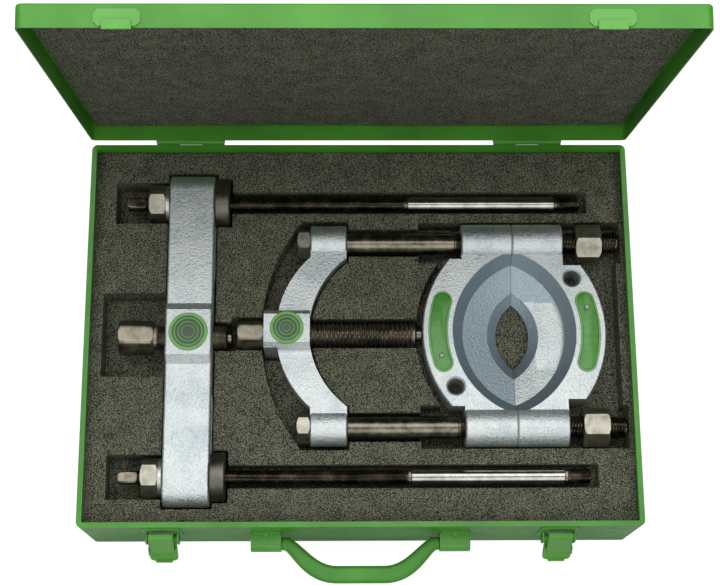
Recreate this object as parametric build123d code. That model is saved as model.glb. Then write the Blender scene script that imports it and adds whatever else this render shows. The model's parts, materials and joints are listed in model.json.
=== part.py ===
"""Puller and bearing separator set in its green sheet-steel case.

Units are millimetres.  X runs along the case, Y from its front to its hinge, Z up.
The origin is the middle of the case's underside.  The lid is drawn shut, then turned open.
The crossbeam puller and the separator each lie in their own pocket of the foam insert.
"""
import os
from math import cos, radians, sin

from build123d import *

os.makedirs("parts", exist_ok=True)

# ---- Case ----
case_length = 475.0
base_height = 96.0
lid_height = 17.5
sheet = 1.0
beam_wall_gap = 21.5
corner_radius = 5.0
bottom_fillet = 2.0
rim_width = 4.5
rim_drop = 6.0
lid_gap = 0.4
lid_open_deg = 81.4
lid_foam_thickness = 5.0
foam_side_gap = 0.5
foam_top = 80.0

# ---- Hinges ----
hinge_offset = 150.0
hinge_leaf_length = 60.0
hinge_leaf_height = 22.0
hinge_leaf_thickness = 1.2
hinge_knuckle_radius = 3.0
hinge_pin_radius = 1.5
hinge_knuckle_gap = 0.2
hinge_wall_gap = 0.2
hinge_lid_leaf_height = 15.0
hinge_leaf_clearance = 0.5
hinge_pin_stand_out = 0.5
hinge_pin_chamfer = 0.3

# ---- Handle ----
handle_offset = 81.0
handle_axis_z = 48.0
handle_axis_out = 8.0
handle_reach = 34.5
handle_bracket_width = 26.0
handle_bracket_height = 36.0
handle_bracket_plate = 1.5
handle_bracket_corner = 3.0
handle_boss_height = 17.0
handle_boss_fillet = 5.0
handle_arm_width = 11.0
handle_grip_width = 14.6
handle_grip_length = 40.0
handle_arm_pull = 10.0
handle_grip_pull = 26.0
handle_curve_shift = 4.0
handle_thickness = 11.0
handle_edge_fillet = 4.0
handle_pin_radius = 3.5
handle_pin_chamfer = 0.5
handle_pin_end_gap = 3.0
handle_side_gap = 0.4
handle_eye_length = 6.0
handle_arm_start = 2.0

# ---- Draw latches ----
bracket_rivet_offset = 11.8
bracket_rivet_radius = 2.4
latch_rivet_offset = 9.5
latch_rivet_radius = 2.2
latch_rivet_rise = 8.0
rivet_roundness = 1.25
latch_offset = 168.0
latch_width = 33.0
latch_plate_height = 44.0
latch_plate_thickness = 1.2
latch_axis_z = 67.0
latch_axis_out = 6.0
latch_pin_radius = 1.6
latch_ear_thickness = 1.4
latch_lever_length = 26.0
latch_lever_open_deg = 31.0
latch_claw_length = 26.0
latch_claw_tilt_deg = 20.0
latch_claw_barrel_radius = 2.0
latch_claw_pin_radius = 1.2
latch_web_thickness = 1.4
latch_play = 0.5
striker_width = 32.0
striker_thickness = 1.2
striker_low = 1.0
striker_high = 13.0
striker_corner = 3.0
striker_tab_width = 20.0
striker_tab_out = 3.0
striker_tab_drop = 1.6
striker_tab_rise = 5.0
latch_plate_fillet = 4.0
latch_ear_inset = 2.5
latch_ear_reach = 4.0
latch_ear_below = 9.0
latch_ear_above = 7.0
latch_ear_fillet = 3.5
latch_pin_head = 0.9
latch_pin_head_length = 0.9
latch_pin_stand_out = 1.0
latch_pin_chamfer = 0.3
latch_lever_barrel = 3.0
latch_lever_sheet = 1.4
latch_lever_fillet = 5.0
latch_lip_inset = 5.0
latch_lip_out = 5.0
latch_web_half = 4.0
latch_web_margin = 2.3
claw_axis_out = 5.2
claw_axis_drop = 9.0
claw_sheet = 1.2
claw_hook_reach = 1.8

# ---- Shared tool sizes ----
running_gap = 0.05
face_gap = 0.2
foam_gap = 2.0
small_chamfer = 0.4
end_chamfer = 1.0
hexagon_ease = 1.8

# ---- Crossbeam puller ----
puller_y = -2.0
puller_z = 75.0
beam_left = -168.0
beam_width = 40.0
beam_half_thickness = 16.0
beam_edge_fillet = 2.0
beam_hub_half_thickness = 22.0
beam_hub_half_length = 20.0
beam_hub_slope = 7.0
beam_slot_inner = 48.0
beam_slot_height = 15.0
beam_slot_play = 8.0
beam_end_margin = 17.5
disc_thickness = 1.2
beam_disc_radius = 16.8
main_screw_radius = 11.0
main_head_flats = 27.0
main_head_length = 30.0
main_head_left = -209.4
main_tip_radius = 7.5
main_tip_length = 5.0
main_screw_end = -111.0
tie_side_gap = 23.0
tie_radius = 7.0
tie_left = -206.0
tie_square = 10.5
tie_square_length = 16.0
tie_shank_left = 43.0
tie_shank_right = 174.5
tie_right = 196.5
tie_neck_length = 2.0
tie_neck_radius = 6.2
tie_nut_flats = 30.0
tie_nut_length = 14.5
tie_nut_back_turn_deg = 16.0
tie_washer_radius = 16.5
tie_washer_thickness = 3.6
tie_collar_radius = 21.5
tie_collar_length = 13.0

# ---- Bearing separator ----
separator_y = 0.5
separator_z = 76.0
split_x = 134.5
split_gap = 0.3
blade_arc_offset = 23.0
blade_radius = 37.5
blade_bevel_width = 8.0
blade_floor_radius = 67.5
blade_recess_radius = 77.0
blade_outer_radius = 103.0
blade_top = 10.0
blade_bottom = -16.0
blade_edge_height = 3.0
blade_bevel_height = 9.0
blade_floor_height = 14.0
blade_channel_half_width = 31.0
blade_channel_depth = 1.2
clamp_spread = 83.0
clamp_radius = 10.0
lug_radius = 17.0
lug_length = 44.5
right_shoulder_set_back = 23.0
puller_hole_radius = 7.05
puller_hole_countersink = 8.6
puller_hole_offset = 71.0
puller_hole_deg = 43.0
label_thickness = 0.8
label_mid_radius = 89.5
label_half_width = 8.6
label_half_deg = 18.0
label_rivet_radius = 2.2
label_rivet_height = 1.4
label_rivet_deg = 14.0
clamp_thread_left = 84.3
clamp_right = 229.0
clamp_end_radius = 8.0
clamp_nut_left = 191.2
clamp_nut_length = 22.3
clamp_nut_flats = 30.0
clamp_nut_back_turn_deg = 30.0
yoke_lug_left = -43.0
yoke_lug_right = -11.5
yoke_lug_radius = 16.0
yoke_arm_half_thickness = 12.0
yoke_outer_radius = 91.0
yoke_outer_centre = 18.3
yoke_inner_radius = 84.0
yoke_inner_centre = 39.6
yoke_hub_left = -83.0
yoke_hub_right = -43.4
yoke_hub_half_width = 16.5
yoke_hub_half_height = 24.0
yoke_hub_chamfer = 4.0
yoke_disc_radius = 14.5
yoke_nut_flats = 24.0
yoke_nut_length = 11.5
yoke_nut_stand_out = 1.0
yoke_screw_radius = 10.0
yoke_head_flats = 24.0
yoke_head_length = 23.0
yoke_tip_length = 6.0
yoke_tip_radius = 7.0

# ---- Foam pockets ----
end_pocket_left = -216.5
end_pocket_half_width = 19.3
middle_pocket_left = -224.5
middle_pocket_half_width = 37.5
tie_groove_half_width = 10.2
tie_groove_right = 203.0
screw_groove_half_width = 13.2
yoke_pocket_centre = 81.0
yoke_pocket_radius = 167.0
yoke_pocket_half_length = 103.0
rod_groove_half_width = 12.8
lug_pocket_left = 52.0
blade_pocket_margin = 6.0
side_pocket_margin = 12.5
side_pocket_half_length = 67.0
nut_pocket_right = 231.5

# ---- Worked out from the above ----
tie_spread = clamp_spread + lug_radius + tie_side_gap
beam_slot_outer = tie_spread + beam_slot_play
beam_length = 2 * (beam_slot_outer + beam_end_margin)
case_depth = beam_length + 2 * beam_wall_gap
left_shoulder = clamp_spread - lug_radius
right_shoulder = clamp_spread - right_shoulder_set_back
front_y = -case_depth / 2
back_y = case_depth / 2
hinge_y = back_y + hinge_wall_gap + hinge_knuckle_radius
hinge_z = base_height + lid_gap
beam_right = beam_left + beam_width
beam_mid_x = (beam_left + beam_right) / 2
tie_nut_right = beam_left - face_gap - tie_washer_thickness
tie_nut_left = tie_nut_right - tie_nut_length
tie_collar_left = beam_right + face_gap
tie_collar_right = tie_collar_left + tie_collar_length
tie_square_right = tie_left + tie_square_length
main_head_right = main_head_left + main_head_length
yoke_head_right = yoke_hub_left - face_gap
yoke_head_left = yoke_head_right - yoke_head_length
blade_left_edge = split_x + blade_arc_offset - blade_outer_radius
side_pocket_right = split_x - blade_arc_offset + blade_outer_radius + side_pocket_margin
yoke_screw_end = blade_left_edge - split_gap
yoke_hub_mid_x = (yoke_hub_left + yoke_hub_right) / 2
clamp_left = yoke_lug_left - yoke_nut_length - yoke_nut_stand_out
hex_corner = 2 / 3**0.5


# ---- Small shapes ----
def block(x_range, y_range, z_range):
    """A box between two corners."""
    ranges = (x_range, y_range, z_range)
    size = [high - low for low, high in ranges]
    middle = [(high + low) / 2 for low, high in ranges]
    return Pos(*middle) * Box(*size)


def bar(radius, x_range, y, z, chamfer_length=0.0):
    """A round bar along X, with both rims chamfered."""
    length = x_range[1] - x_range[0]
    shape = Cylinder(radius, length)
    if chamfer_length:
        shape = chamfer(shape.edges().filter_by(GeomType.CIRCLE), chamfer_length)
    return Pos((x_range[0] + x_range[1]) / 2, y, z) * Rot(0, 90, 0) * shape


def hexagon(flats, x_range, y, z, turn=0.0):
    """A hexagon along X with a flat on top, its corners eased at both ends."""
    outline = RegularPolygon(flats / 2, 6, major_radius=False, rotation=turn)
    prism = Pos(0, y, z) * extrude(Plane.YZ.offset(x_range[0]) * outline, x_range[1] - x_range[0])
    return prism & bar(flats / 2 * hex_corner, x_range, y, z, hexagon_ease)


def upright_slot(mid_radius, half_width, half_deg, z, height, centre_x, centre_y, facing):
    """A racetrack bent round a circle's centre; facing is 180 for the -X side and 0 for +X."""
    start, end = facing - half_deg, facing + half_deg
    ring = Circle(mid_radius + half_width) - Circle(mid_radius - half_width)
    far = 2 * mid_radius
    corners = [(0, 0)]
    corners += [(far * cos(radians(a)), far * sin(radians(a))) for a in (start, facing, end)]
    shape = ring & make_face(Polyline(*corners, close=True))
    for angle in (start, end):
        centre = (mid_radius * cos(radians(angle)), mid_radius * sin(radians(angle)))
        shape += Pos(*centre) * Circle(half_width)
    return Pos(centre_x, centre_y, z) * extrude(shape, height)


def open_lid(shape):
    """Turn a piece that was drawn on the shut lid to where the open lid holds it."""
    return Pos(0, hinge_y, hinge_z) * Rot(-lid_open_deg, 0, 0) * Pos(0, -hinge_y, -hinge_z) * shape


def turn_about_x(shape, degrees, y, z):
    """Turn a piece about an axis along X through y, z."""
    return Pos(0, y, z) * Rot(degrees, 0, 0) * Pos(0, -y, -z) * shape


# ---- Case pieces ----
def shell(z_low, z_high, open_top):
    """A sheet-metal tray, open at the top or at the bottom."""
    half_x, half_y = case_length / 2, case_depth / 2
    outer = block((-half_x, half_x), (-half_y, half_y), (z_low, z_high))
    outer = fillet(outer.edges().filter_by(Axis.Z), corner_radius)
    closed_end = outer.faces().sort_by(Axis.Z)[0 if open_top else -1]
    outer = fillet(closed_end.edges(), bottom_fillet)
    inner_z = (z_low + sheet, z_high + sheet) if open_top else (z_low - sheet, z_high - sheet)
    inner = block((-half_x + sheet, half_x - sheet), (-half_y + sheet, half_y - sheet), inner_z)
    inner = fillet(inner.edges().filter_by(Axis.Z), corner_radius - sheet)
    return outer - inner


def case_tray():
    """The base, with its edge folded inward into a stiff rim."""
    half_x, half_y = case_length / 2, case_depth / 2
    fold = block((-half_x + sheet / 2, half_x - sheet / 2), (-half_y + sheet / 2, half_y - sheet / 2),
                 (base_height - rim_drop, base_height))
    fold = fillet(fold.edges().filter_by(Axis.Z), corner_radius - sheet / 2)
    window = block((-half_x + rim_width, half_x - rim_width), (-half_y + rim_width, half_y - rim_width),
                   (base_height - rim_drop, base_height))
    window = fillet(window.edges().filter_by(Axis.Z), sheet)
    return shell(0, base_height, True) + (fold - window)


def foam_insert():
    """The foam block, with a pocket for each tool and gaps for fingers round them."""
    half_x = case_length / 2 - sheet - foam_side_gap
    half_y = case_depth / 2 - sheet - foam_side_gap
    foam = block((-half_x, half_x), (-half_y, half_y), (sheet, foam_top))
    foam = fillet(foam.edges().filter_by(Axis.Z), corner_radius - sheet)
    for pocket in puller_pockets() + separator_pockets():
        foam -= pocket
    return foam


def pocket(x_range, y_range, floor):
    """A straight-sided pocket from a floor to above the foam."""
    return block(x_range, y_range, (floor, foam_top + sheet))


def puller_pockets():
    """Pockets for the crossbeam, its screw and its two tie rods."""
    floor_nut = puller_z - tie_nut_flats / 2 * hex_corner - foam_gap
    floor_collar = puller_z - tie_collar_radius - foam_gap / 2
    floor_beam = puller_z - beam_half_thickness - face_gap
    floor_hub = puller_z - beam_hub_half_thickness - face_gap
    floor_rod = puller_z - tie_radius - foam_gap
    beam_x = (beam_left - foam_gap, beam_right + foam_gap)
    hub_half = beam_hub_half_length + beam_hub_slope + foam_gap
    half_beam = beam_length / 2 + foam_gap
    cuts = [pocket(beam_x, (puller_y - half_beam, puller_y + half_beam), floor_beam)]
    cuts.append(pocket(beam_x, (puller_y - hub_half, puller_y + hub_half), floor_hub))
    wide = middle_pocket_half_width
    middle_y = (puller_y - wide + foam_gap, puller_y + wide + foam_gap)
    cuts.append(pocket((middle_pocket_left, beam_left), middle_y, floor_nut))
    screw_y = (puller_y - screw_groove_half_width, puller_y + screw_groove_half_width)
    cuts.append(pocket((beam_right, main_screw_end + foam_gap), screw_y, floor_nut))
    for side in (-1, 1):
        y = puller_y + side * tie_spread
        end_y = (y - end_pocket_half_width, y + end_pocket_half_width)
        cuts.append(pocket((end_pocket_left, beam_left), end_y, floor_nut))
        collar_half = tie_collar_radius + foam_gap / 2
        cuts.append(pocket((beam_right, tie_collar_right + foam_gap), (y - collar_half, y + collar_half),
                           floor_collar))
        cuts.append(pocket((tie_collar_right, tie_groove_right),
                           (y - tie_groove_half_width, y + tie_groove_half_width), floor_rod))
    return cuts


def separator_pockets():
    """Pockets for the yoke, its screw, the clamp rods and the two blade halves."""
    y0 = separator_y
    floor_screw = separator_z - yoke_head_flats / 2 * hex_corner - foam_gap
    floor_hub = separator_z - yoke_hub_half_height - face_gap
    floor_lug = separator_z - lug_radius - face_gap
    head_half = yoke_head_flats / 2 * hex_corner + foam_gap / 2
    groove_y = (y0 - screw_groove_half_width, y0 + screw_groove_half_width)
    cuts = [pocket((main_screw_end, blade_left_edge), groove_y, floor_screw)]
    cuts.append(pocket((yoke_head_left - 3 * foam_gap, yoke_hub_left), (y0 - head_half, y0 + head_half),
                       floor_screw))
    hub_half = yoke_hub_half_width + foam_gap
    cuts.append(pocket((yoke_hub_left - foam_gap, yoke_hub_right + foam_gap), (y0 - hub_half, y0 + hub_half),
                       floor_hub))
    sweep = Pos(yoke_pocket_centre, y0) * Circle(yoke_pocket_radius)
    keep_right = yoke_lug_right + foam_gap
    strip_x = keep_right - yoke_pocket_radius / 2
    strip = Pos(strip_x, y0) * Rectangle(yoke_pocket_radius, 2 * yoke_pocket_half_length)
    inside = Pos(yoke_inner_centre, y0) * Circle(yoke_inner_radius - foam_gap)
    lugs = [Pos((yoke_lug_left + keep_right) / 2 - foam_gap, y0 + side * clamp_spread)
            * Rectangle(keep_right - yoke_lug_left + 2 * foam_gap, 2 * (yoke_lug_radius + foam_gap))
            for side in (-1, 1)]
    outline = (sweep & strip) - inside + lugs
    cuts.append(Pos(0, 0, floor_lug) * extrude(outline, foam_top + sheet - floor_lug))
    for side in (-1, 1):
        y = y0 + side * clamp_spread
        rod_y = (y - rod_groove_half_width, y + rod_groove_half_width)
        cuts.append(pocket((yoke_lug_right, lug_pocket_left), rod_y, floor_lug))
        wide = lug_radius + foam_gap
        cuts.append(pocket((lug_pocket_left, nut_pocket_right), (y - wide, y + wide), floor_lug - foam_gap / 2))
    reach = blade_outer_radius + blade_pocket_margin
    left = Pos(split_x + blade_arc_offset, y0) * Circle(reach)
    left &= Pos(split_x - reach / 2, y0) * Rectangle(reach, 2 * (clamp_spread - lug_radius + foam_gap))
    right_half_width = side_pocket_right - split_x
    right = Pos(split_x + right_half_width / 2, y0) * Rectangle(right_half_width, 2 * side_pocket_half_length)
    for area in (left, right):
        cuts.append(Pos(0, 0, floor_lug) * extrude(area, foam_top + sheet - floor_lug))
    return cuts


def lid_shell():
    """The lid, drawn shut on the base and turned open."""
    return open_lid(shell(base_height + lid_gap, base_height + lid_gap + lid_height, False))


def lid_foam():
    """The thin foam sheet glued inside the lid."""
    half_x = case_length / 2 - corner_radius
    half_y = case_depth / 2 - corner_radius
    top = base_height + lid_gap + lid_height - sheet
    return open_lid(block((-half_x, half_x), (-half_y, half_y), (top - lid_foam_thickness, top)))


def lid_strikers():
    """A pressed catch on the lid's front edge above each latch, with a tab that hooks the claw."""
    low = base_height + lid_gap
    plate_y = (front_y - striker_thickness, front_y)
    tab_y = (front_y - striker_tab_out, front_y - striker_thickness)
    pieces = []
    for side in (-1, 1):
        x = side * latch_offset
        plate_x = (x - striker_width / 2, x + striker_width / 2)
        plate = block(plate_x, plate_y, (low + striker_low, low + striker_high))
        plate = chamfer(plate.edges().filter_by(Axis.Y), striker_corner)
        tab_x = (x - striker_tab_width / 2, x + striker_tab_width / 2)
        tab = block(tab_x, tab_y, (low - striker_tab_drop, low + striker_tab_rise))
        pieces.append(open_lid(plate + tab))
    return Compound(children=pieces)


def hinge_leaf(x, upper):
    """One leaf: a plate on the wall, and knuckles joined to it by necks of their own width."""
    half = hinge_leaf_length / 2
    inner = half / 3
    plate_y = (back_y, back_y + hinge_leaf_thickness)
    clear = hinge_knuckle_radius + hinge_leaf_clearance
    sign = 1 if upper else -1
    height = hinge_lid_leaf_height if upper else hinge_leaf_height
    plate_z = sorted((hinge_z + sign * clear, hinge_z + sign * height))
    leaf = block((x - half, x + half), plate_y, plate_z)
    if upper:
        spans = [(x - inner + hinge_knuckle_gap, x + inner - hinge_knuckle_gap)]
    else:
        spans = [(x - half, x - inner), (x + inner, x + half)]
    for span in spans:
        neck_z = sorted((hinge_z, hinge_z + sign * clear))
        neck = block(span, (back_y + hinge_wall_gap, back_y + hinge_wall_gap + hinge_leaf_thickness), neck_z)
        leaf += neck + bar(hinge_knuckle_radius, span, hinge_y, hinge_z)
    bore = bar(hinge_pin_radius + running_gap, (x - half - 1, x + half + 1), hinge_y, hinge_z)
    return leaf - bore


def hinge_leaves(upper):
    """Both hinges' leaves on the base, or on the lid."""
    leaves = [hinge_leaf(side * hinge_offset, upper) for side in (-1, 1)]
    return Compound(children=[open_lid(leaf) if upper else leaf for leaf in leaves])


def hinge_pins():
    """The two hinge pins, fixed in the base's knuckles."""
    half = hinge_leaf_length / 2 + hinge_pin_stand_out
    pins = []
    for side in (-1, 1):
        x = side * hinge_offset
        pins.append(bar(hinge_pin_radius, (x - half, x + half), hinge_y, hinge_z, hinge_pin_chamfer))
    return Compound(children=pins)


# ---- Handle ----
handle_y = front_y - handle_axis_out
handle_inner_x = handle_offset - handle_bracket_width / 2


def handle_brackets():
    """Two pressed brackets riveted to the front, each with a bored boss for the handle's end."""
    pieces = []
    half = handle_bracket_width / 2
    plate_z = (handle_axis_z - handle_bracket_height / 2, handle_axis_z + handle_bracket_height / 2)
    boss_z = (handle_axis_z - handle_boss_height / 2, handle_axis_z + handle_boss_height / 2)
    boss_front = handle_y - handle_axis_out + handle_bracket_plate
    for side in (-1, 1):
        x = side * handle_offset
        plate = block((x - half, x + half), (front_y - handle_bracket_plate, front_y), plate_z)
        plate = fillet(plate.edges().filter_by(Axis.Y), handle_bracket_corner)
        boss = block((x - half, x + half), (boss_front, front_y - sheet), boss_z)
        boss = fillet(boss.edges().filter_by(Axis.X).group_by(Axis.Y)[0], handle_boss_fillet)
        bore = bar(handle_pin_radius + running_gap, (x - half - 1, x + half + 1), handle_y, handle_axis_z)
        pieces.append(plate + boss - bore)
    return Compound(children=pieces)


def bail_edge(side, half_width, arm_x, grip_y):
    """One edge of an arm, from its end to the grip, level at both."""
    start = (side * arm_x, handle_y + half_width * handle_arm_width)
    end = (side * handle_grip_length / 2, grip_y + half_width * handle_grip_width)
    shift = 2 * half_width * handle_curve_shift
    start_pull = (start[0] - side * (handle_arm_pull + shift), start[1])
    end_pull = (end[0] + side * (handle_grip_pull - shift), end[1])
    return Bezier(start, start_pull, end_pull, end)


def handle_bail():
    """The swinging handle: two arms that sweep out in an S to a wider straight grip."""
    arm_x = handle_inner_x - handle_arm_start
    grip_y = front_y - handle_reach
    edges = [bail_edge(side, half, arm_x, grip_y) for side in (-1, 1) for half in (-0.5, 0.5)]
    for half in (0, 1):
        edges.append(Line(edges[half] @ 1, edges[half + 2] @ 1))
    for side in (0, 2):
        edges.append(Line(edges[side] @ 0, edges[side + 1] @ 0))
    outline = make_face(Wire(edges))
    bail = Pos(0, 0, handle_axis_z - handle_thickness / 2) * extrude(outline, handle_thickness, dir=(0, 0, 1))
    flat = bail.faces().sort_by(Axis.Z)
    long_edges = flat[0].edges() + flat[-1].edges()
    bail = fillet(long_edges.filter_by(Axis.Y, reverse=True), handle_edge_fillet)
    for side in (-1, 1):
        eye_x = sorted((side * (arm_x - handle_eye_length), side * (handle_inner_x - handle_side_gap)))
        pin_end = handle_offset + handle_bracket_width / 2 - handle_pin_end_gap
        pin_x = sorted((side * (arm_x - handle_eye_length), side * pin_end))
        bail += bar(handle_thickness / 2, eye_x, handle_y, handle_axis_z)
        bail += bar(handle_pin_radius, pin_x, handle_y, handle_axis_z, handle_pin_chamfer)
    return bail


# ---- Latches ----
latch_y = front_y - latch_axis_out
latch_plate_top = base_height - rim_drop
ear_outer = latch_width / 2 - latch_ear_inset
ear_inner = ear_outer - latch_ear_thickness
lever_half = ear_inner - latch_play
claw_half = lever_half - latch_web_thickness - latch_play
lever_back = latch_y - latch_lever_barrel + latch_lever_sheet


def latch_base(side):
    """The riveted base plate and the two ears that carry the lever's pin."""
    x = side * latch_offset
    plate = block((x - latch_width / 2, x + latch_width / 2), (front_y - latch_plate_thickness, front_y),
                  (latch_plate_top - latch_plate_height, latch_plate_top))
    base = fillet(plate.edges().filter_by(Axis.Y), latch_plate_fillet)
    ear_y = (latch_y - latch_ear_reach, front_y - latch_plate_thickness / 2)
    ear_z = (latch_axis_z - latch_ear_below, latch_axis_z + latch_ear_above)
    for hand in (-1, 1):
        ear = block(sorted((x + hand * ear_inner, x + hand * ear_outer)), ear_y, ear_z)
        base += fillet(ear.edges().filter_by(Axis.X).group_by(Axis.Y)[0], latch_ear_fillet)
    bore = bar(latch_pin_radius + running_gap, (x - latch_width / 2, x + latch_width / 2), latch_y, latch_axis_z)
    return base - bore


def latch_pins():
    """The two lever pins, headed over in the ears."""
    pins = []
    reach = ear_outer + latch_pin_stand_out
    for side in (-1, 1):
        x = side * latch_offset
        pin = bar(latch_pin_radius, (x - reach, x + reach), latch_y, latch_axis_z)
        for hand in (-1, 1):
            head = sorted((x + hand * (reach - latch_pin_head_length), x + hand * reach))
            pin += bar(latch_pin_radius + latch_pin_head, head, latch_y, latch_axis_z, latch_pin_chamfer)
        pins.append(pin)
    return Compound(children=pins)


def latch_lever(side):
    """The lever: a barrel on the pin, a slightly bowed plate and two webs that carry the claw."""
    x = side * latch_offset
    half = lever_half
    low = latch_axis_z - latch_lever_length
    lever = bar(latch_lever_barrel, (x - half, x + half), latch_y, latch_axis_z)
    plate = block((x - half, x + half), (latch_y - latch_lever_barrel, lever_back), (low, latch_axis_z))
    lever += fillet(plate.edges().filter_by(Axis.Y).group_by(Axis.Z)[0], latch_lever_fillet)
    lip_x = (x - half + latch_lip_inset, x + half - latch_lip_inset)
    lever += block(lip_x, (latch_y - latch_lip_out, lever_back), (low, low + latch_lever_sheet))
    claw_z = latch_axis_z - claw_axis_drop
    for hand in (-1, 1):
        web_x = sorted((x + hand * (half - latch_web_thickness), x + hand * half))
        lever += block(web_x, (latch_y - claw_axis_out - latch_web_margin, lever_back),
                       (claw_z - latch_web_half, claw_z + latch_web_half))
    bore = bar(latch_pin_radius + running_gap, (x - half - 1, x + half + 1), latch_y, latch_axis_z)
    claw_bore = bar(latch_claw_pin_radius, (x - half - 1, x + half + 1), latch_y - claw_axis_out, claw_z)
    return turn_about_x(lever - bore - claw_bore, -latch_lever_open_deg, latch_y, latch_axis_z)


def claw_axis():
    """Where the claw's pin is once the lever has been turned out."""
    angle = radians(-latch_lever_open_deg)
    dy, dz = -claw_axis_out, -claw_axis_drop
    return (latch_y + dy * cos(angle) - dz * sin(angle), latch_axis_z + dy * sin(angle) + dz * cos(angle))


def latch_claw_pin(side):
    """The small pin through the lever's webs."""
    x = side * latch_offset
    y, z = claw_axis()
    return bar(latch_claw_pin_radius, (x - lever_half, x + lever_half), y, z)


def latch_claw(side):
    """The hook plate that reaches up from the lever and bends over at its top."""
    x = side * latch_offset
    y, z = claw_axis()
    half = claw_half
    barrel = latch_claw_barrel_radius
    top = z + latch_claw_length
    claw = block((x - half, x + half), (y - barrel, y - barrel + claw_sheet), (z, top))
    claw += block((x - half, x + half), (y - barrel, y + claw_hook_reach), (top - claw_sheet, top))
    claw += bar(barrel, (x - half, x + half), y, z)
    claw -= bar(latch_claw_pin_radius + running_gap, (x - half - 1, x + half + 1), y, z)
    return turn_about_x(claw, -latch_claw_tilt_deg, y, z)


def case_rivets():
    """Domed rivets that hold the handle brackets and the latch bases to the front."""
    rivets = []
    rivet_z = latch_plate_top - latch_plate_height + latch_rivet_rise
    for side in (-1, 1):
        for dz in (-bracket_rivet_offset, bracket_rivet_offset):
            centre = (side * handle_offset, front_y - handle_bracket_plate, handle_axis_z + dz)
            rivets.append(rivet(centre, bracket_rivet_radius))
        for dx in (-latch_rivet_offset, latch_rivet_offset):
            centre = (side * latch_offset + dx, front_y - latch_plate_thickness, rivet_z)
            rivets.append(rivet(centre, latch_rivet_radius))
    return Compound(children=rivets)


def rivet(centre, radius):
    """A low dome on the -Y side of a plate."""
    ball_radius = radius * rivet_roundness
    cap = Sphere(ball_radius) & Pos(0, -ball_radius, 0) * Box(4 * radius, 2 * radius, 4 * radius)
    return Pos(*centre) * Pos(0, ball_radius - radius, 0) * cap


# ---- Crossbeam puller ----
def tie_y(side):
    return puller_y + side * tie_spread


def crossbeam():
    """The forged beam: round ends, a thicker hub and a long slot in each arm for a tie rod."""
    thick = beam_hub_half_thickness
    slope_end = beam_hub_half_length + beam_hub_slope
    side_view = SlotOverall(beam_length, 2 * beam_half_thickness)
    side_view += Polygon((-slope_end, -beam_half_thickness), (-beam_hub_half_length, -thick),
                         (beam_hub_half_length, -thick), (slope_end, -beam_half_thickness),
                         (slope_end, beam_half_thickness), (beam_hub_half_length, thick),
                         (-beam_hub_half_length, thick), (-slope_end, beam_half_thickness), align=None)
    beam = extrude(Plane.YZ.offset(beam_left) * side_view, beam_width)
    rims = beam.faces().sort_by(Axis.X)
    beam = fillet(rims[0].edges() + rims[-1].edges(), beam_edge_fillet)
    beam = Pos(0, puller_y, puller_z) * beam
    slot_length = beam_slot_outer - beam_slot_inner
    slot_mid = (beam_slot_outer + beam_slot_inner) / 2
    for side in (-1, 1):
        slot = extrude(Plane.YZ.offset(beam_left - 1) * SlotOverall(slot_length, beam_slot_height), beam_width + 2)
        beam -= Pos(0, puller_y + side * slot_mid, puller_z) * slot
    return beam - bar(main_screw_radius + running_gap, (beam_left - 1, beam_right + 1), puller_y, puller_z)


def disc(radius, x, y, z):
    """A thin round plate lying flat at height z."""
    plate = Cylinder(radius, disc_thickness, align=(Align.CENTER, Align.CENTER, Align.MIN))
    return Pos(x, y, z) * chamfer(plate.edges().group_by(Axis.Z)[-1], small_chamfer)


def main_spindle():
    """The pressure screw and its hexagon head, socketed for the thrust tip."""
    y, z = puller_y, puller_z
    body_end = main_screw_end - main_tip_length
    head = hexagon(main_head_flats, (main_head_left, main_head_right), y, z)
    return head + bar(main_screw_radius, (main_head_right - 1, body_end), y, z, end_chamfer)


def main_spindle_tip():
    """The thrust tip, which stays still while the screw turns."""
    start = main_screw_end - main_tip_length + face_gap
    return bar(main_tip_radius, (start, main_screw_end), puller_y, puller_z, end_chamfer)


def tie_rod(side):
    """Square end, long thread, neck, smooth shank, neck and end thread."""
    y, z = tie_y(side), puller_z
    half = tie_square / 2
    square = block((tie_left, tie_square_right), (y - half, y + half), (z - half, z + half))
    square = chamfer(square.faces().sort_by(Axis.X)[0].edges(), end_chamfer)
    rod = square + bar(tie_radius, (tie_square_right, tie_shank_left - tie_neck_length), y, z, end_chamfer)
    rod += bar(tie_neck_radius, (tie_shank_left - tie_neck_length - 1, tie_shank_left + 1), y, z)
    rod += bar(tie_radius, (tie_shank_left, tie_shank_right), y, z, small_chamfer)
    rod += bar(tie_neck_radius, (tie_shank_right - 1, tie_shank_right + tie_neck_length + 1), y, z)
    return rod + bar(tie_radius, (tie_shank_right + tie_neck_length, tie_right), y, z, end_chamfer)


def tie_ring(radius, x_range, side, chamfer_length):
    """A round ring on a tie rod: the washer or the clamping collar."""
    y, z = tie_y(side), puller_z
    bore = bar(tie_radius + running_gap, (x_range[0] - 1, x_range[1] + 1), y, z)
    return bar(radius, x_range, y, z, chamfer_length) - bore


def tie_washer(side):
    return tie_ring(tie_washer_radius, (tie_nut_right, beam_left - face_gap), side, small_chamfer)


def tie_collar(side):
    return tie_ring(tie_collar_radius, (tie_collar_left, tie_collar_right), side, end_chamfer)


def tie_nut(side):
    """The hexagon nut outside the beam; the back one is turned, as it was left."""
    y, z = tie_y(side), puller_z
    turn = tie_nut_back_turn_deg if side > 0 else 0.0
    nut = hexagon(tie_nut_flats, (tie_nut_left, tie_nut_right), y, z, turn)
    return nut - bar(tie_radius + running_gap, (tie_nut_left - 1, tie_nut_right + 1), y, z)


# ---- Bearing separator ----
def clamp_y(side):
    return separator_y + side * clamp_spread


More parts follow.
